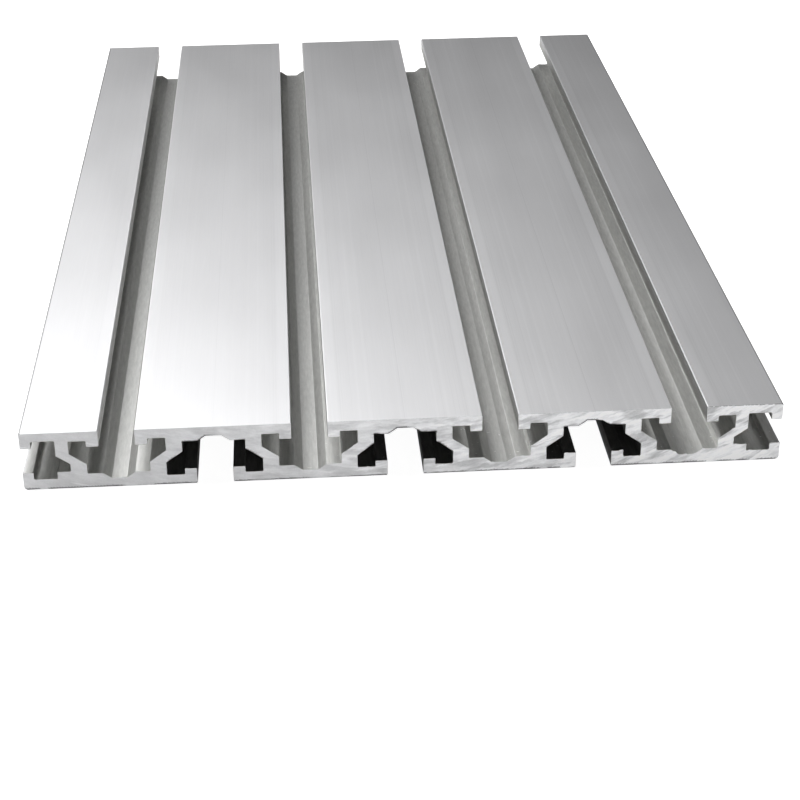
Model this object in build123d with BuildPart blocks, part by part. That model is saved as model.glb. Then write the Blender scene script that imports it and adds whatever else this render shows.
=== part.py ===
"""A flat aluminium plate profile with T-slots in both faces and along both long sides.

It is one length of extruded stock, sawn square at both ends. Millimetres throughout.
X runs across the width, Y along the length and Z up. The origin is the middle of the
underside.
"""

from build123d import *
import os

# Overall sizes. The slots of the top face set the width: half a pitch of metal lies
# outside the first and the last of them. The underside has one slot less, each of them
# midway between two of the top face.
slot_pitch = 45.0
top_slot_count = 4
profile_height = 15.0
stock_length = 300.0

# The T-slot that both faces share
slot_mouth = 8.5
lip_width = 2.9
lip_drop = 1.55
face_wall = 2.55
throat_relief = 0.2
web_wall = 3.85
shoulder_rise = 1.7
web_slant_height = 2.9
slot_floor = 3.8

# The shallow channel with slanted sides along the middle of each slot's floor
channel_mouth = 7.6
channel_bed = 3.6
channel_depth = 1.4

# The slot along each long side
side_face_wall = 2.3
side_lip_width = 2.6
side_web_wall = 3.1
side_slant_rise = 1.15
side_slant_height = 2.15
side_rail_height = 4.55
side_floor = 2.75

# Rounded corners of the section. A corner beside a T-slot's chamber takes at most the
# given share of the short wall between its lip and the chamber's side.
root_radius = 0.25
corner_share = 0.45
lip_radius = 0.2
top_edge_radius = 0.2
foot_radius = 0.35
side_foot_radius = 0.9

# Worked out from the sizes above
profile_width = top_slot_count * slot_pitch
bottom_slot_count = top_slot_count - 1
mid_height = profile_height / 2
lip_depth = face_wall + lip_drop
mouth_half = slot_mouth / 2
lip_inner = mouth_half + lip_width
throat_half = lip_inner + throat_relief
chamber_half = slot_pitch / 2 - throat_half - web_wall
shoulder_depth = mid_height - shoulder_rise
throat_depth = shoulder_depth + web_slant_height
slot_depth = profile_height - slot_floor
channel_bottom = slot_depth + channel_depth
slot_root_radius = min(root_radius, corner_share * (chamber_half - lip_inner))


# One T-slot, with its mouth at the origin and its depth along -Y. The wide chamber under
# the face narrows over a slanted shoulder to the throat below it, so that the wall left
# between an upper slot and a lower one is an S of even thickness.
right_half = [
    (mouth_half, 0),
    (mouth_half, -lip_depth),
    (lip_inner, -lip_depth),
    (lip_inner, -face_wall),
    (chamber_half, -face_wall),
    (chamber_half, -shoulder_depth),
    (throat_half, -throat_depth),
    (throat_half, -slot_depth),
    (channel_mouth / 2, -slot_depth),
    (channel_bed / 2, -channel_bottom),
]
left_half = [(-x, y) for x, y in reversed(right_half)]

with BuildSketch() as t_slot:
    with BuildLine():
        Polyline(*right_half, *left_half, close=True)
    make_face()
    mouth_corners = t_slot.vertices().group_by(Axis.Y)[-1]
    lip_corners = t_slot.vertices().filter_by_position(Axis.Y, -lip_depth, -lip_depth)
    fillet(t_slot.vertices() - mouth_corners - lip_corners, slot_root_radius)
    fillet(t_slot.vertices().filter_by_position(Axis.Y, -lip_depth, -lip_depth), lip_radius)


# The two side slots, at their places in the section. Each lies between a lip that hangs
# from the top plate and a lip that stands on the foot. Its floor drops behind the
# standing lip and steps up again to a ledge under the slanted wall.
side_face = profile_width / 2
side_lip_inner = side_face - side_lip_width
side_wall = side_face - (slot_pitch / 2 - chamber_half - side_web_wall)
side_throat = side_face - (slot_pitch / 2 - throat_half - web_wall)
side_slant_top = mid_height + side_slant_rise
side_slant_bottom = side_slant_top - side_slant_height
hanging_lip_end = profile_height - lip_depth
side_plate_underside = profile_height - side_face_wall

with BuildSketch() as side_slots:
    with BuildLine():
        Polyline(
            (side_face, hanging_lip_end),
            (side_lip_inner, hanging_lip_end),
            (side_lip_inner, side_plate_underside),
            (side_wall, side_plate_underside),
            (side_wall, side_slant_top),
            (side_throat, side_slant_bottom),
            (side_throat, side_rail_height),
            (side_wall, side_rail_height),
            (side_wall, side_floor),
            (side_lip_inner, side_floor),
            (side_lip_inner, side_rail_height),
            (side_face, side_rail_height),
            close=True,
        )
    make_face()
    side_mouth_corners = side_slots.vertices().group_by(Axis.X)[-1]
    fillet(side_slots.vertices() - side_mouth_corners, root_radius)
    mirror(about=Plane.YZ)


# The whole section stands on the X axis at the far end, and the stock runs forward from it
with BuildPart() as extrusion_profile:
    with BuildSketch(Plane.XZ.offset(-stock_length / 2)) as section:
        with Locations((0, mid_height)):
            Rectangle(profile_width, profile_height)
        with Locations((0, profile_height)):
            with GridLocations(slot_pitch, 0, top_slot_count, 1):
                add(t_slot.sketch, mode=Mode.SUBTRACT)
        with GridLocations(slot_pitch, 0, bottom_slot_count, 1):
            add(t_slot.sketch, rotation=180, mode=Mode.SUBTRACT)
        add(side_slots.sketch, mode=Mode.SUBTRACT)

        # The four outer ends of the side lips
        between = section.vertices().filter_by_position(Axis.Y, side_rail_height, hanging_lip_end)
        by_side = between.group_by(Axis.X)
        fillet(by_side[0] + by_side[-1], lip_radius)

        # The feet, with the two outer corners rounded more, and the edges of the top face
        foot_corners = section.vertices().group_by(Axis.Y)[0].sort_by(Axis.X)
        fillet(foot_corners[1:-1], foot_radius)
        foot_corners = section.vertices().group_by(Axis.Y)[0].sort_by(Axis.X)
        fillet([foot_corners[0], foot_corners[-1]], side_foot_radius)
        fillet(section.vertices().group_by(Axis.Y)[-1], top_edge_radius)
    extrude(amount=stock_length)

extrusion_profile.part.label = "extrusion_profile"

os.makedirs("parts", exist_ok=True)
export_step(extrusion_profile.part, "parts/extrusion_profile.step")
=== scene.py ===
"""A length of slotted aluminium plate profile: its sawn and drawn surfaces, a pale floor, light and camera.

Metres throughout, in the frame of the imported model: X across the width, Y along the length, Z up,
with the origin in the middle of the underside.
"""

import math

import bpy
import numpy as np
from mathutils import Matrix, Vector
from mathutils.geometry import delaunay_2d_cdt


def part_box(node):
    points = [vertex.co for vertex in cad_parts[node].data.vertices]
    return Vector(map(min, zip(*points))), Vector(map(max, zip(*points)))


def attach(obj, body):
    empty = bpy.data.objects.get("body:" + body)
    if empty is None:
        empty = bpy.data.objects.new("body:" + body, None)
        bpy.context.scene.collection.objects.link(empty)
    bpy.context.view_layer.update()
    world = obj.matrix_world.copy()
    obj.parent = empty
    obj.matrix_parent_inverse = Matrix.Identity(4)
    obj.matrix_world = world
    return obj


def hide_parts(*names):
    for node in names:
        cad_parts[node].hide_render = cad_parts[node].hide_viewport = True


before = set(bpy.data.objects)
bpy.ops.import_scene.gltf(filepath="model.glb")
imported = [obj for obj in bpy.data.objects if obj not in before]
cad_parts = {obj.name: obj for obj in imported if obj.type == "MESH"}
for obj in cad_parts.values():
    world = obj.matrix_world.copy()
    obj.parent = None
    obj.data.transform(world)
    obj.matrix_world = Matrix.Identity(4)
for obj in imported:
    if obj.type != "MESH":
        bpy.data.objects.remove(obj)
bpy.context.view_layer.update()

mm = 0.001

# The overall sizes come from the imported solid
plate_low, plate_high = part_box("extrusion_profile")
plate_width = plate_high.x - plate_low.x
plate_length = plate_high.y - plate_low.y
plate_height = plate_high.z - plate_low.z

# The slots of the two faces
top_slot_count = 4
bottom_slot_count = top_slot_count - 1
slot_pitch = plate_width / top_slot_count
slot_mouth = 8.5 * mm
lip_width = 2.9 * mm
lip_drop = 1.55 * mm
face_wall = 2.55 * mm
throat_relief = 0.2 * mm
web_wall = 3.85 * mm
shoulder_rise = 1.7 * mm
web_slant_height = 2.9 * mm
slot_floor = 3.8 * mm
channel_mouth = 7.6 * mm
channel_bed = 3.6 * mm
channel_depth = 1.4 * mm

# The slots along the two sides
side_face_wall = 2.3 * mm
side_lip_width = 2.6 * mm
side_web_wall = 3.1 * mm
side_slant_rise = 1.15 * mm
side_slant_height = 2.15 * mm
side_rail_height = 4.55 * mm
side_floor = 2.75 * mm

# Rounded corners of the section
root_radius = 0.25 * mm
lip_radius = 0.2 * mm
top_edge_radius = 0.2 * mm
foot_radius = 0.35 * mm
side_foot_radius = 0.9 * mm

# How finely the surfaces are laid out
corner_steps = 5
corner_support = 0.04 * mm
outline_step = 0.5 * mm
round_over_steps = 3
middle_ring_count = 6

# The edge that the saw and a light deburring leave round each end
edge_round = 0.04 * mm
edge_nick = 0.11 * mm
edge_inset = 0.03 * mm
edge_under = 0.12 * mm
under_break_length = 2.5 * mm
under_break_middle = 0.9
under_break_swing = 1.5
nick_length = 0.9 * mm
nick_rarity = 0.1
burr_height = 0.4 * mm
burr_length = 0.5 * mm
burr_reach = 0.5 * mm
burr_rarity = 0.5
burr_depth = 0.6 * mm
burr_wall_share = 0.25
front_edge_seed = 11
back_edge_seed = 23

# The round saw's marks on the ends: arcs about the blade's axis
saw_axis_x = -12.0 * mm
saw_axis_z = 192.0 * mm
saw_radial_step = 0.22 * mm
saw_along_step = 0.62 * mm
saw_margin = 0.16 * mm
saw_groove_width = 0.8 * mm
saw_groove_length = 6.0 * mm
saw_groove_depth = 0.03 * mm
saw_chatter_width = 2.2 * mm
saw_chatter_length = 14.0 * mm
saw_chatter_depth = 0.06 * mm
saw_patch_width = 6.0 * mm
saw_patch_length = 14.0 * mm
saw_patch_floor = 0.45
saw_calm_share = 0.12
front_saw_seed = 31
back_saw_seed = 47

# What the finishes take from the mesh: depth in the slots, and which finish a face wears
recess_depth = 2.5 * mm
side_depth_factor = 3
drawn_index, sawn_index = 0, 1

# The floor, its faint shadow and the sky
floor_half_width = 6.0
seen_floor_height = -0.02 * mm
matt_floor_height = -8 * mm
shadow_reach = 350 * mm
shadow_glow = 0.95
sky_strength = 0.03


def wander(across, along, seed):
    """A smooth random height from -1 to 1 at each place.

    Whole numbers of the two coordinates have random heights from one seeded table, and
    between them the four nearest heights are blended with the ease curve 3t^2 - 2t^3. The
    table's size and the strides through it are primes, so that no row soon repeats another.
    """
    height_count, column_stride, row_stride = 8191, 7919, 104729
    table = np.random.default_rng(seed).uniform(-1, 1, height_count)
    column, row = np.floor(across).astype(np.int64), np.floor(along).astype(np.int64)
    s, t = across - column, along - row
    s, t = s * s * (3 - 2 * s), t * t * (3 - 2 * t)

    def height(i, j):
        return table[(i * column_stride + j * row_stride) % height_count]

    low = height(column, row) * (1 - s) + height(column + 1, row) * s
    high = height(column, row + 1) * (1 - s) + height(column + 1, row + 1) * s
    return low * (1 - t) + high * t


def section_corners():
    """The corners of the section as rows of x, z and radius, against the clock seen from the front.

    They run along the underside, up the right side, back along the top and down the left side.
    A top slot is a bottom slot turned by half a turn, and the left side mirrors the right.
    """
    side_face = plate_width / 2
    lip_depth = face_wall + lip_drop
    mouth_half = slot_mouth / 2
    lip_inner = mouth_half + lip_width
    throat_half = lip_inner + throat_relief
    chamber_half = slot_pitch / 2 - throat_half - web_wall
    shoulder_depth = plate_height / 2 - shoulder_rise
    slot_depth = plate_height - slot_floor
    half_slot = np.array([
        (mouth_half, 0, foot_radius),
        (mouth_half, lip_depth, lip_radius),
        (lip_inner, lip_depth, lip_radius),
        (lip_inner, face_wall, root_radius),
        (chamber_half, face_wall, root_radius),
        (chamber_half, shoulder_depth, root_radius),
        (throat_half, shoulder_depth + web_slant_height, root_radius),
        (throat_half, slot_depth, root_radius),
        (channel_mouth / 2, slot_depth, root_radius),
        (channel_bed / 2, slot_depth + channel_depth, root_radius),
    ])
    slot = np.concatenate([half_slot * (-1, 1, 1), half_slot[::-1]])
    top_slot = slot.copy()
    top_slot[[0, -1], 2] = top_edge_radius

    lip_inside = side_face - side_lip_width
    wall = side_face - (slot_pitch / 2 - chamber_half - side_web_wall)
    throat = side_face - (slot_pitch / 2 - throat_half - web_wall)
    slant_top = plate_height / 2 + side_slant_rise
    lip_end = plate_height - lip_depth
    ceiling = plate_height - side_face_wall
    side = np.array([
        (side_face, 0, side_foot_radius),
        (side_face, side_rail_height, lip_radius),
        (lip_inside, side_rail_height, root_radius),
        (lip_inside, side_floor, root_radius),
        (wall, side_floor, root_radius),
        (wall, side_rail_height, root_radius),
        (throat, side_rail_height, root_radius),
        (throat, slant_top - side_slant_height, root_radius),
        (wall, slant_top, root_radius),
        (wall, ceiling, root_radius),
        (lip_inside, ceiling, root_radius),
        (lip_inside, lip_end, root_radius),
        (side_face, lip_end, lip_radius),
        (side_face, plate_height, top_edge_radius),
    ])

    def centres(count):
        return (np.arange(count) - (count - 1) / 2) * slot_pitch

    bottom = [slot + (x, 0, 0) for x in centres(bottom_slot_count)]
    top = [top_slot * (-1, -1, 1) + (x, plate_height, 0) for x in centres(top_slot_count)[::-1]]
    return np.concatenate(bottom + [side] + top + [side[::-1] * (-1, 1, 1)])


def rounded_outline(corners):
    """The closed outline through the corners as points and outward normals.

    Each corner is an arc that touches both straights: it leaves them r tan(a / 2) from the
    corner for a turn of a, and its points are the arc's centre plus or minus r times the
    normal, which turns by even steps. A support point stands just beyond each end of the
    arc, and even steps divide what is left of the straights.
    """
    place, radius = corners[:, :2], corners[:, 2]
    way_in = place - np.roll(place, 1, axis=0)
    way_in /= np.linalg.norm(way_in, axis=1, keepdims=True)
    way_out = np.roll(way_in, -1, axis=0)
    turn = np.arctan2(
        way_in[:, 0] * way_out[:, 1] - way_in[:, 1] * way_out[:, 0], (way_in * way_out).sum(1)
    )
    cut = (radius * np.tan(abs(turn) / 2))[:, None]
    signed_radius = (radius * np.sign(turn))[:, None]
    first_normal = np.stack([way_in[:, 1], -way_in[:, 0]], axis=1)
    centre = place - cut * way_in - signed_radius * first_normal

    angle = np.arctan2(first_normal[:, 1], first_normal[:, 0])[:, None]
    angle = angle + turn[:, None] * np.linspace(0, 1, corner_steps + 1)
    normal = np.stack([np.cos(angle), np.sin(angle)], axis=2)
    arc = centre[:, None] + signed_radius[:, None] * normal
    before = arc[:, :1] - corner_support * way_in[:, None]
    after = arc[:, -1:] + corner_support * way_out[:, None]
    place = np.concatenate([before, arc, after], axis=1).reshape(-1, 2)
    normal = np.concatenate([normal[:, :1], normal, normal[:, -1:]], axis=1).reshape(-1, 2)

    step = np.linalg.norm(np.roll(place, -1, axis=0) - place, axis=1)
    at = np.concatenate([[0], np.cumsum(step)])
    parts = np.maximum(np.round(step / outline_step), 1).astype(int)
    run = np.repeat(np.arange(step.size), parts)
    share = (np.arange(run.size) - np.repeat(np.cumsum(parts) - parts, parts)) / parts[run]
    along = at[run] + share * step[run]
    closed = np.concatenate([np.hstack([place, normal]), np.hstack([place[:1], normal[:1]])])
    finer = np.stack([np.interp(along, at, column) for column in closed.T], axis=1)
    return finer[:, :2], finer[:, 2:], along


def depth_in_slot(place):
    """How far a point of the section lies from the nearest outer face.

    The distance to the two sides counts several times, so that the side slots darken sooner.
    """
    x, z = place[..., 0], place[..., 1]
    from_side = side_depth_factor * (plate_width / 2 - abs(x))
    return np.minimum(np.minimum(z, plate_height - z), from_side)


def in_lower_slot_or_foot(place):
    """1 for the points of the section under a foot or between two feet, and 0 for the rest."""
    x, z = place[..., 0], place[..., 1]
    from_lower_slot = abs(x - slot_pitch * np.round(x / slot_pitch))
    between_feet = (from_lower_slot < slot_pitch / 4) & (abs(x) < (bottom_slot_count / 2) * slot_pitch)
    return (between_feet | (z < side_foot_radius)).astype(float)


def rightward(x):
    """How rough the saw has cut at each x: a small share on the left, rising to 1 at the right."""
    across = np.clip(0.5 + x / plate_width, 0, 1)
    return saw_calm_share + (1 - saw_calm_share) * across * across * (3 - 2 * across)


def saw_relief(x, z, seed):
    """How deep the saw has cut below the end's plane at each place, never less than nothing.

    The marks follow arcs about the blade's axis: random heights that change quickly with
    the radius and slowly along the arc, as fine grooves and as broader chatter. Both grow
    with slow random patches and towards the right.
    """
    radius = np.hypot(x - saw_axis_x, z - saw_axis_z)
    arc = np.arctan2(x - saw_axis_x, saw_axis_z - z) * saw_axis_z
    grooves = wander(radius / saw_groove_width, arc / saw_groove_length, seed)
    chatter = wander(radius / saw_chatter_width, arc / saw_chatter_length, seed + 1)
    patches = 0.5 + 0.5 * wander(radius / saw_patch_width, arc / saw_patch_length, seed + 2)
    strength = rightward(x) * (saw_patch_floor + (1 - saw_patch_floor) * patches)
    depth = saw_groove_depth * (1 + grooves) / 2 + saw_chatter_depth * (1 + chatter) / 2
    return strength * depth


def inside_outline(point, outline, margin):
    """True for the points inside the closed outline and at least the margin away from it.

    A point is inside if the outline crosses the level line to its right an odd number of
    times. Its distance is the least one to any of the outline's straight steps. The points
    are taken a few thousand at a time, which spares memory.
    """
    points_at_once = 2000
    start, end = outline, np.roll(outline, -1, axis=0)
    step = end - start
    kept = []
    for some in np.array_split(point, max(1, point.shape[0] // points_at_once)):
        x, z = some[:, :1], some[:, 1:]
        spans = (start[:, 1] > z) != (end[:, 1] > z)
        rise = np.where(step[:, 1] == 0, 1, step[:, 1])
        crossing = start[:, 0] + (z - start[:, 1]) / rise * step[:, 0]
        inside = (spans & (crossing > x)).sum(1) % 2 == 1
        share = ((x - start[:, 0]) * step[:, 0] + (z - start[:, 1]) * step[:, 1]) / (step**2).sum(1)
        share = share.clip(0, 1)
        apart = np.hypot(
            x - start[:, 0] - share * step[:, 0], z - start[:, 1] - share * step[:, 1]
        ).min(1)
        kept.append(inside & (apart > margin))
    return np.concatenate(kept)


def end_cap(ring, end_y, inward, saw_seed):
    """Triangles over a sawn end: the points inside its ring, and the corners of each triangle.

    The inner points stand on arcs about the saw's axis, close together from arc to arc and
    wider along them, so that the marks are part of the mesh. Each lies inward of the end's
    plane by the saw's relief. Corners count the ring first.
    """
    far = np.hypot(ring[:, 0] - saw_axis_x, ring[:, 1] - saw_axis_z)
    turn = np.arctan2(ring[:, 0] - saw_axis_x, saw_axis_z - ring[:, 1])
    radius = np.arange(far.min(), far.max(), saw_radial_step)
    angle = np.arange(turn.min(), turn.max(), saw_along_step / saw_axis_z)
    radius, angle = (grid.ravel() for grid in np.meshgrid(radius, angle))
    lattice = np.stack(
        [saw_axis_x + radius * np.sin(angle), saw_axis_z - radius * np.cos(angle)], axis=1
    )
    in_box = (
        (abs(lattice[:, 0]) < plate_width / 2) & (lattice[:, 1] > 0) & (lattice[:, 1] < plate_height)
    )
    lattice = lattice[in_box]
    lattice = lattice[inside_outline(lattice, ring, saw_margin)]
    point = np.concatenate([ring, lattice]) / mm
    edge = np.arange(ring.shape[0])
    edges = np.stack([edge, np.roll(edge, -1)], axis=1).tolist()
    inside_only, tolerance = 1, 1e-7
    found = delaunay_2d_cdt(point.tolist(), edges, [], inside_only, tolerance)
    triangles, source = np.array(found[2]), np.array(found[3]).ravel()
    y = end_y + inward * saw_relief(lattice[:, 0], lattice[:, 1], saw_seed)
    return np.stack([lattice[:, 0], y, lattice[:, 1]], axis=1), source[triangles]


def sawn_end_rings(outline, normal, along, edge_seed, saw_seed):
    """The rings that round the section over into an end, from the end's plane inwards.

    Returns x and z, the distance from the end and the painted shade of each ring. A fine quarter
    round runs round the edge. It widens on the edges that face down, with short breaks, and
    here and there to a nick, more so towards the right. A narrow flat strip keeps its shading
    off the end's plane. Here and there inside the slots a burr stands proud, mostly on their
    floors and towards the right: the point moves along its normal by the burr's height less
    the round's cut. All but the last ring lie deeper by the saw's relief at the edge. The
    round carries painted shade under the feet and round the lower slots, where shade falls.
    """
    def here_and_there(length, rarity, seed):
        """Up to 1 in random places of about this length round the outline, and 0 between them.

        Random heights less the rarity, cut off below 0 and stretched so that they reach 1.
        """
        return np.clip(wander(along / length, 0 * along, seed) - rarity, 0, 1) / (1 - rarity)

    nick = edge_nick * rightward(outline[:, 0]) * here_and_there(nick_length, nick_rarity, edge_seed)
    breaks = wander(along / under_break_length, 0 * along, edge_seed + 2)
    whole = np.clip(under_break_middle + under_break_swing * breaks, 0, 1)
    under = whole * np.clip(-normal[:, 1], 0, 1)
    size = edge_round + np.maximum(nick, edge_under * under)
    hidden = np.clip((depth_in_slot(outline) - burr_depth) / burr_depth, 0, 1)
    floors = burr_wall_share + (1 - burr_wall_share) * np.clip(normal[:, 1], 0, 1)
    spike = here_and_there(burr_length, burr_rarity, edge_seed + 1)
    burr = burr_height * rightward(outline[:, 0]) * hidden * floors * spike

    turn = np.linspace(0, math.pi / 2, round_over_steps + 1)[:, None]
    beyond = np.array([[edge_inset], [0.5 * burr_reach], [burr_reach]])
    into = np.concatenate([0 * size[None], size * (1 - np.cos(turn)), size + beyond])
    lift = np.concatenate([-size[None] - edge_inset, -size * (1 - np.sin(turn)), 0 * size * beyond])
    fade = (1 - np.clip(into / burr_reach, 0, 1)) ** 2
    shift = lift + burr * fade
    ring = outline[None] + shift[..., None] * normal[None]
    relief = saw_relief(ring[0, :, 0], ring[0, :, 1], saw_seed)
    # Painted shade: the down-facing round under the feet and round the lower slots darkens, where shade
    # falls
    under_shade = np.where(into <= size, under * in_lower_slot_or_foot(outline), 0)
    return ring, into + relief * (into < burr_reach), under_shade


def build_plate():
    """The whole piece as one closed mesh: the rounded section carried along Y, with two sawn ends."""
    outline, normal, along = rounded_outline(section_corners())
    front, front_into, front_under_shade = sawn_end_rings(outline, normal, along, front_edge_seed, front_saw_seed)
    back, back_into, back_under_shade = sawn_end_rings(outline, normal, along, back_edge_seed, back_saw_seed)
    middle = np.linspace(plate_low.y, plate_high.y, middle_ring_count + 2)[1:-1]
    ring = np.concatenate([front, np.broadcast_to(outline, (middle.size, *outline.shape)), back[::-1]])
    y = np.concatenate([
        plate_low.y + front_into,
        np.broadcast_to(middle[:, None], (middle.size, outline.shape[0])),
        (plate_high.y - back_into)[::-1],
    ])
    shell = np.stack([ring[..., 0], y, ring[..., 1]], axis=2).reshape(-1, 3)
    index = np.arange(y.size).reshape(y.shape)
    right = np.roll(index, -1, axis=1)
    sides = np.stack([index[:-1], index[1:], right[1:], right[:-1]], axis=2).reshape(-1, 4)

    front_inner, front_faces = end_cap(ring[0], plate_low.y, 1, front_saw_seed)
    back_inner, back_faces = end_cap(ring[-1], plate_high.y, -1, back_saw_seed)
    vertices = np.concatenate([shell, front_inner, back_inner])
    inner_index = np.arange(shell.shape[0], vertices.shape[0])
    front_index = np.concatenate([index[0], inner_index[: front_inner.shape[0]]])
    back_index = np.concatenate([index[-1], inner_index[front_inner.shape[0]:]])
    caps = np.concatenate([front_index[front_faces], back_index[back_faces][:, ::-1]])

    mesh = bpy.data.meshes.new("slotted_plate")
    mesh.from_pydata(vertices.tolist(), [], sides.tolist() + caps.tolist())
    mesh.polygons.foreach_set("use_smooth", np.ones(len(mesh.polygons), bool))
    wears = np.full(len(mesh.polygons), drawn_index, np.int32)
    wears[sides.shape[0]:] = sawn_index
    mesh.polygons.foreach_set("material_index", wears)
    recess = np.clip(depth_in_slot(vertices[:, [0, 2]]) / recess_depth, 0, 1)
    # Painted shade on the down-facing rounds of the ends, kept at the points for both finishes
    under_edge_shade = np.zeros(vertices.shape[0])
    under_edge_shade[: front_under_shade.size] = front_under_shade.ravel()
    under_edge_shade[shell.shape[0] - back_under_shade.size: shell.shape[0]] = back_under_shade[::-1].ravel()
    for name, numbers in (("recess", recess), ("under_edge_shade", under_edge_shade)):
        attribute = mesh.attributes.new(name, "FLOAT", "POINT")
        attribute.data.foreach_set("value", numbers.astype(np.float32))
    mesh.update()
    piece = bpy.data.objects.new("slotted_plate", mesh)
    bpy.context.scene.collection.objects.link(piece)
    return piece


class Value:
    """The output of a shader node. Arithmetic with values and plain numbers adds Math nodes."""

    def __init__(self, nodes, socket):
        self.nodes = nodes
        self.socket = socket

    def math(self, operation, *inputs):
        return self.nodes.node("ShaderNodeMath", {"operation": operation}, dict(enumerate(inputs)))

    def __add__(self, other):
        return self.math("ADD", self, other)

    __radd__ = __add__

    def __sub__(self, other):
        return self.math("SUBTRACT", self, other)

    def __rsub__(self, other):
        return self.math("SUBTRACT", other, self)

    def __mul__(self, other):
        return self.math("MULTIPLY", self, other)

    __rmul__ = __mul__

    def __truediv__(self, other):
        return self.math("DIVIDE", self, other)

    def __pow__(self, other):
        return self.math("POWER", self, other)

    def __abs__(self):
        return self.math("ABSOLUTE", self)


class Nodes:
    """A node tree under construction. One method adds any kind of node, and the rest use it."""

    def __init__(self, tree):
        self.tree = tree
        self.tree.nodes.clear()

    def node(self, kind, settings=None, inputs=None, output=0):
        """A new node: first its settings, then a plain value or a link for each named input."""
        made = self.tree.nodes.new(kind)
        for name, setting in (settings or {}).items():
            setattr(made, name, setting)
        for name, given in (inputs or {}).items():
            if isinstance(given, Value):
                self.tree.links.new(given.socket, made.inputs[name])
            else:
                made.inputs[name].default_value = given
        return None if output is None else Value(self, made.outputs[output])

    def noise(self, x, y, z, detail, roughness):
        """Smooth random values about 0.5 over three numbers, one cell for each whole number."""
        vector = self.node("ShaderNodeCombineXYZ", None, {0: x, 1: y, 2: z})
        return self.node(
            "ShaderNodeTexNoise",
            {"noise_dimensions": "3D"},
            {"Vector": vector, "Scale": 1.0, "Detail": detail, "Roughness": roughness},
        )

    def ease(self, value, low, high):
        """0 up to low, 1 from high, and a smooth step between."""
        return self.node(
            "ShaderNodeMapRange",
            {"interpolation_type": "SMOOTHSTEP", "clamp": True},
            {"Value": value, "From Min": low, "From Max": high},
        )

    def ridge(self, value, place, width):
        """1 where the value is at the place, and 0 from half the width on either side of it."""
        return self.ease(abs(value - place), width / 2, 0.0)


class Finish(Nodes):
    """The nodes of one material."""

    def __init__(self, name):
        self.material = bpy.data.materials.new(name)
        self.material.use_nodes = True
        super().__init__(self.material.node_tree)

    def place(self):
        """The object's own coordinates as three numbers in millimetres."""
        coordinates = self.node("ShaderNodeTexCoord", output="Object")
        parts = [self.node("ShaderNodeSeparateXYZ", None, {0: coordinates}, name) for name in "XYZ"]
        return [part / mm for part in parts]

    def attribute(self, name):
        """The number that the mesh keeps at its points under the given name."""
        return self.node("ShaderNodeAttribute", {"attribute_name": name}, None, "Fac")

    def blend(self, factor, first, second):
        """A colour that goes from the first to the second with the factor."""
        return self.node(
            "ShaderNodeMix", {"data_type": "RGBA"}, {0: factor, 6: first, 7: second}, 2
        )

    def shade(self, color, factor):
        """The colour with its brightness multiplied by the factor."""
        grey = self.node("ShaderNodeCombineColor", None, {0: factor, 1: factor, 2: factor})
        return self.node(
            "ShaderNodeMix", {"data_type": "RGBA", "blend_type": "MULTIPLY"}, {0: 1.0, 6: color, 7: grey}, 2
        )

    def surface(self, sockets):
        """Ends the material with one shader that takes the given sockets."""
        shader = self.node("ShaderNodeBsdfPrincipled", None, sockets)
        self.node("ShaderNodeOutputMaterial", None, {"Surface": shader}, None)
        return self.material


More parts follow.
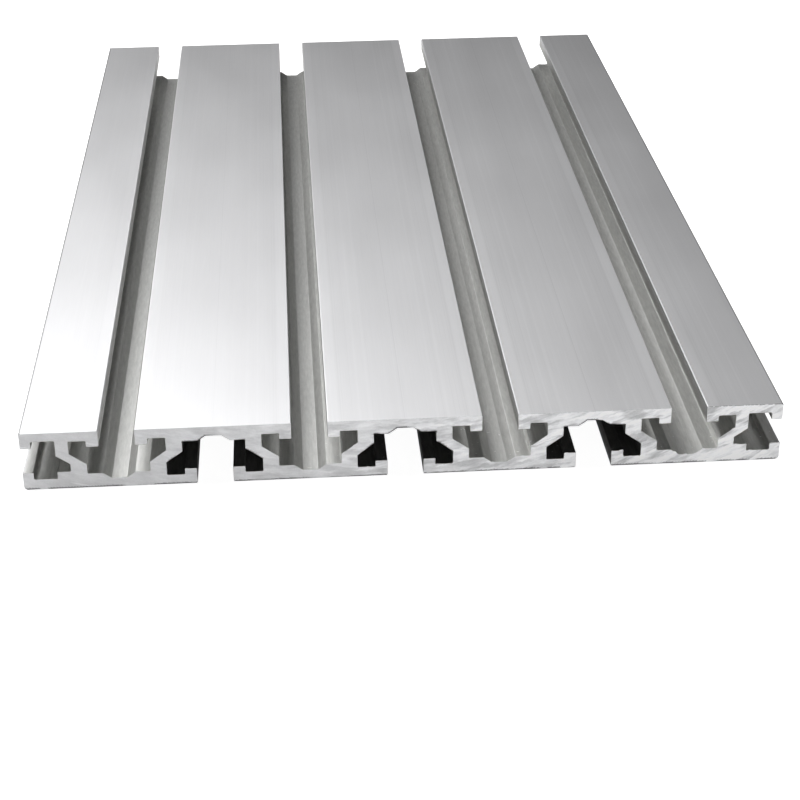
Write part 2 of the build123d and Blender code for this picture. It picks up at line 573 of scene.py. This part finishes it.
def drawn_metal():
    """The satin skin from the die: lines and bands that run along the whole length.

    The top face is a little brighter over the lips and over the webs, and a dark line runs
    midway between two slots, where the metal streams met in the die. Its edges carry a painted
    highlight along the slots and painted shade along the two sides and, broken, at the sawn ends,
    strongest on the rightmost land. Inside the slots the skin is darker and mottled, with painted
    shade deepest in the lower ones, and a few bright chips near the sawn ends. The round of those
    ends carries painted shade under the feet and round the lower slots.
    """
    finish = Finish("drawn_aluminium")
    x, y, z = finish.place()
    recess = finish.attribute("recess")
    top = plate_height / mm
    half_width = plate_width / mm / 2
    half_length = plate_length / mm / 2
    half_pitch = slot_pitch / mm / 2

    def skin_noise(across, along, detail, roughness):
        """Noise in cells of so many millimetres across the length and along it."""
        return finish.noise(x / across, y / along, z / across, detail, roughness)

    on_top = finish.ease(z, top - 0.4, top - 0.1)
    rightness = finish.ease(x, -half_width, plate_width / mm / 3)
    from_slot = x.math("PINGPONG", x - half_pitch, half_pitch)
    lip_end = (slot_mouth / 2 + lip_width) / mm
    web_start = half_pitch - (slot_mouth / 2 + lip_width + throat_relief + web_wall) / mm
    web_end = web_start + web_wall / mm
    over_lip = 1 - finish.ease(from_slot, lip_end - 0.3, lip_end + 0.2)
    beside_lip = finish.ridge(from_slot, lip_end + 0.45, 0.5)
    web_edges = finish.ridge(from_slot, web_start + 0.8, 1.0) + finish.ridge(from_slot, web_end - 0.5, 1.2)
    middle_line = finish.ridge(from_slot, half_pitch, 0.3)
    chamber_lines = (
        finish.ridge(from_slot, lip_end + 1.05, 0.35) + finish.ridge(from_slot, web_start - 0.9, 0.35)
    )
    face_bands = (
        0.035 * over_lip
        - 0.03 * beside_lip
        - 0.03 * chamber_lines
        + 0.025 * web_edges
        - 0.07 * middle_line
    )
    # Painted highlight on the rounded top edges along each slot mouth
    painted_edge_highlight = finish.ridge(from_slot, (slot_mouth / 2 + top_edge_radius / 2) / mm, 0.7) * on_top
    # Painted shade on the rounded top edges along the two sides
    outer_edge_shade = finish.ease(abs(x), half_width - 0.5, half_width - 0.3) * on_top
    # Painted shade on the top edges at the sawn ends, stronger on the rightmost land
    end_rim_shade = finish.ease(abs(y), half_length - 0.25, half_length - 0.12) * on_top
    last_mouth = half_width - half_pitch
    last_land = finish.ease(x, last_mouth - 1.5, last_mouth + 2.5)
    # Random breaks in that painted shade, more towards the right, where the edge's own highlight shows
    rim_shade_breaks = finish.ease(finish.noise(x / 0.9, 0.0, 4.0, 1.0, 0.5), 0.5, 0.58) * rightness

    # Painted shade deep in the lower slots, where little light reaches; the mask follows the webs' lean
    lean = finish.ease(z, (plate_height / 2 - shoulder_rise) / mm, (plate_height / 2 + shoulder_rise) / mm)
    web_middle = (web_start + web_end) / 2
    wall_at = half_pitch - web_middle + (2 * web_middle - half_pitch) * lean
    last_web = half_width - 16
    between_webs = finish.ease(abs(x), last_web + 1, last_web - 1)
    lower_slot_shade = finish.ease(from_slot - wall_at, -1.0, 1.0) * recess * between_webs

    die_lines = skin_noise(0.32, 900, 0.0, 0.5)
    dark_lines = finish.ease(die_lines, 0.74, 0.84)
    bright_lines = finish.ease(die_lines, 0.27, 0.17)
    lines = skin_noise(0.6, 160, 2.0, 0.6)
    bands = skin_noise(5.0, 500, 1.0, 0.5)
    strokes = skin_noise(0.28, 9, 2.0, 0.55)
    cloud = skin_noise(16, 50, 2.0, 0.5)
    mottle = skin_noise(0.6, 4, 3.0, 0.6)
    swarf_reach = 30
    near_end = finish.ease(abs(y), half_length - swarf_reach, half_length)
    chips = finish.ease(skin_noise(0.9, 0.9, 0.0, 0.5), 0.78, 0.84)
    swarf = chips * near_end * recess * rightness
    streaks = (
        face_bands * on_top
        - 0.05 * dark_lines
        + 0.03 * bright_lines
        + 0.05 * (lines - 0.5)
        + 0.05 * (bands - 0.5)
    )
    tone = (
        1
        + streaks * (0.3 + 0.7 * rightness)
        + 0.035 * (strokes - 0.5)
        + 0.03 * (cloud - 0.5)
        + 0.4 * recess * (mottle - 0.5)
        # painted highlight along the slot edges
        + 0.18 * painted_edge_highlight
        # painted shade along the outer top edges
        - 0.4 * outer_edge_shade
        # painted shade at the sawn ends of the top edges, with breaks
        - (0.1 + 0.35 * last_land) * end_rim_shade * (1 - rim_shade_breaks)
        # painted shade inside the lower slots
        - 0.4 * lower_slot_shade
        # painted shade on the down-facing round of the ends
        - 0.85 * finish.attribute("under_edge_shade")
        + 0.6 * swarf
    )
    face_color = (0.84, 0.84, 0.85, 1)
    slot_color = (0.68, 0.682, 0.668, 1)
    color = finish.shade(finish.blend(recess, face_color, slot_color), tone)
    roughness = 0.52 + 0.04 * (cloud - 0.5) + 0.03 * (lines - 0.5)
    height = 0.3 * strokes + 0.5 * lines + 0.5 * recess * mottle
    normal = finish.node(
        "ShaderNodeBump", None, {"Strength": 0.3, "Distance": 0.0012 * mm, "Height": height}
    )
    return finish.surface(
        {"Base Color": color, "Metallic": 1.0, "Roughness": roughness, "Normal": normal}
    )


def sawn_metal():
    """The bright sawn end: strokes along the arcs that the saw's teeth have cut.

    The strokes are broad and strong on the right, fine and faint on the left, and here and
    there a long bright scratch crosses them at a small angle. A painted shade line runs along
    the lower edges.
    """
    finish = Finish("sawn_aluminium")
    x, y, z = finish.place()
    across = x - saw_axis_x / mm
    down = saw_axis_z / mm - z
    radius = (across * across + down * down) ** 0.5
    arc = across.math("ARCTAN2", across, down) * (saw_axis_z / mm)
    half_width = plate_width / mm / 2
    rightness = finish.ease(x, -half_width, half_width)
    strength = saw_calm_share + (1 - saw_calm_share) * rightness
    ragged = radius + 0.9 * (finish.noise(x / 1.6, 2.0, z / 1.6, 3.0, 0.6) - 0.5)
    aslant = ragged + 0.12 * arc

    def saw_noise(way, across_arcs, along_arcs, layer, detail, roughness):
        """Noise in cells of so many millimetres across the arcs and along them, one layer of many."""
        return finish.noise(way / across_arcs, arc / along_arcs, layer, detail, roughness)

    strokes = finish.ease(saw_noise(ragged, 1.9, 8, 0.0, 2.0, 0.5), 0.43, 0.62)
    bright = finish.ease(saw_noise(ragged, 1.3, 6, 5.0, 1.0, 0.5), 0.52, 0.68)
    fine = saw_noise(ragged, 0.8, 4, 3.0, 2.0, 0.6)
    scratch = finish.ease(saw_noise(aslant, 0.7, 14, 13.0, 0.0, 0.5), 0.74, 0.8)
    patches = finish.noise(x / 6, y / 6, z / 4, 2.0, 0.5)
    grain = finish.noise(x / 0.5, y / 0.5, z / 0.5, 2.0, 0.6)
    tone = (
        1
        - 0.35 * strength * strokes
        + 0.18 * strength * bright
        + 0.40 * strength * (fine - 0.5)
        + 0.14 * (fine - 0.5)
        + 0.28 * (patches - 0.5)
        + 0.12 * (grain - 0.5)
        + 0.14 * scratch
        # painted shade along the lower edges of the sawn end
        - 0.75 * finish.attribute("under_edge_shade")
    )
    # Brighter towards the right: partly the sawn metal's own brighter cut, partly painted light from the
    # right
    shaded_left_color = (0.75, 0.752, 0.762, 1)
    lit_right_color = (0.985, 0.989, 1.0, 1)
    color = finish.shade(finish.blend(rightness, shaded_left_color, lit_right_color), tone)
    roughness = 0.5 + 0.06 * (fine - 0.5)
    height = strength * (1 - strokes) + 0.3 * fine + 0.15 * grain
    normal = finish.node(
        "ShaderNodeBump", None, {"Strength": 0.5, "Distance": 0.008 * mm, "Height": height}
    )
    return finish.surface(
        {"Base Color": color, "Metallic": 1.0, "Roughness": roughness, "Normal": normal}
    )


def floor_sheet(name, height, material):
    """A wide level sheet at the given height."""
    half = floor_half_width
    corners = ((-half, -half), (half, -half), (half, half), (-half, half))
    mesh = bpy.data.meshes.new(name)
    mesh.from_pydata([(x, y, height) for x, y in corners], [], [(0, 1, 2, 3)])
    mesh.materials.append(material)
    sheet = bpy.data.objects.new(name, mesh)
    bpy.context.scene.collection.objects.link(sheet)
    return sheet


def pale_floor():
    """The floor as two sheets: one that the camera sees, and a lower one that the metal sees.

    The seen one lies just under the plate and glows, so that it is as white as the
    photograph's background. It glows a little less near the plate, which leaves a faint
    shadow there. The other is plain and matt, lights the metal from below and in front as a
    real floor does, and is dark under the plate. It lies lower, so that the shadow in front
    of the plate takes less light from its feet.
    """
    finish = Finish("studio_floor")
    x, y = finish.place()[:2]
    far_out = finish.ease((x * x + y * y) ** 0.5, shadow_reach / mm, 2 * shadow_reach / mm)
    glow = shadow_glow + (1 - shadow_glow) * far_out
    seen = floor_sheet("studio_floor", seen_floor_height, finish.surface({
        "Base Color": (0.5, 0.5, 0.5, 1),
        "Roughness": 0.9,
        "Emission Color": finish.shade((1, 1, 1, 1), glow),
        "Emission Strength": 1.0,
    }))
    seen.visible_diffuse = False
    seen.visible_glossy = False
    seen.visible_shadow = False
    plain = Finish("matt_floor").surface({"Base Color": (0.8, 0.8, 0.8, 1), "Roughness": 0.9})
    matt = floor_sheet("matt_floor", matt_floor_height, plain)
    matt.visible_camera = False
    return seen, matt


def soft_light(name, place, size, power):
    """A soft light of the given size and power in watts, facing the plate's middle from its place."""
    data = bpy.data.lights.new(name, "AREA")
    data.shape = "RECTANGLE"
    data.size, data.size_y = size
    data.energy = power
    lamp = bpy.data.objects.new(name, data)
    away = Vector(place)
    lamp.matrix_world = Matrix.Translation(away) @ away.to_track_quat("Z", "Y").to_matrix().to_4x4()
    bpy.context.scene.collection.objects.link(lamp)


def pale_sky(strength):
    """An even surrounding of the given strength, white where it shows behind the plate."""
    world = bpy.data.worlds.new("studio")
    bpy.context.scene.world = world
    world.use_nodes = True
    nodes = Nodes(world.node_tree)
    behind = nodes.node("ShaderNodeLightPath", output="Is Camera Ray")
    light = strength + (1 - strength) * behind
    background = nodes.node("ShaderNodeBackground", None, {"Color": (1, 1, 1, 1), "Strength": light})
    nodes.node("ShaderNodeOutputWorld", None, {"Surface": background}, None)


def photo_camera():
    """The camera at the photograph's viewing angle, from its place and its three angles."""
    data = bpy.data.cameras.new("camera")
    data.sensor_width = 36.0
    data.lens = 83.73
    data.clip_start, data.clip_end = 0.01, 50.0
    camera = bpy.data.objects.new("camera", data)
    eye = Vector((-24.66 * mm, plate_low.y - 382.83 * mm, 222.63 * mm))
    yaw, pitch, roll = (math.radians(angle) for angle in (-3.516, -27.839, -0.609))
    camera.matrix_world = (
        Matrix.Translation(eye)
        @ Matrix.Rotation(yaw, 4, "Z")
        @ Matrix.Rotation(math.pi / 2 + pitch, 4, "X")
        @ Matrix.Rotation(roll, 4, "Z")
    )
    bpy.context.scene.collection.objects.link(camera)
    bpy.context.scene.camera = camera


plate = build_plate()
plate.data.materials.append(drawn_metal())
plate.data.materials.append(sawn_metal())
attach(plate, "root")
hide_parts("extrusion_profile")

for sheet in pale_floor():
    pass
pale_sky(sky_strength)
soft_light("key_high_left", (-0.36, 0.30, 0.75), (0.35, 0.60), 3.55)
soft_light("top_left", (-0.22, 0.00, 0.50), (0.25, 0.35), 1.2)
soft_light("top_back", (-0.08, 0.15, 0.50), (0.25, 0.35), 0.75)
soft_light("front_low", (0.10, -0.90, 0.12), (0.60, 0.18), 1.7)
soft_light("right_high", (0.80, 0.10, 0.70), (0.50, 0.40), 3.6)
photo_camera()
bpy.context.scene.view_settings.view_transform = "Standard"
bpy.context.scene.view_settings.gamma = 0.9
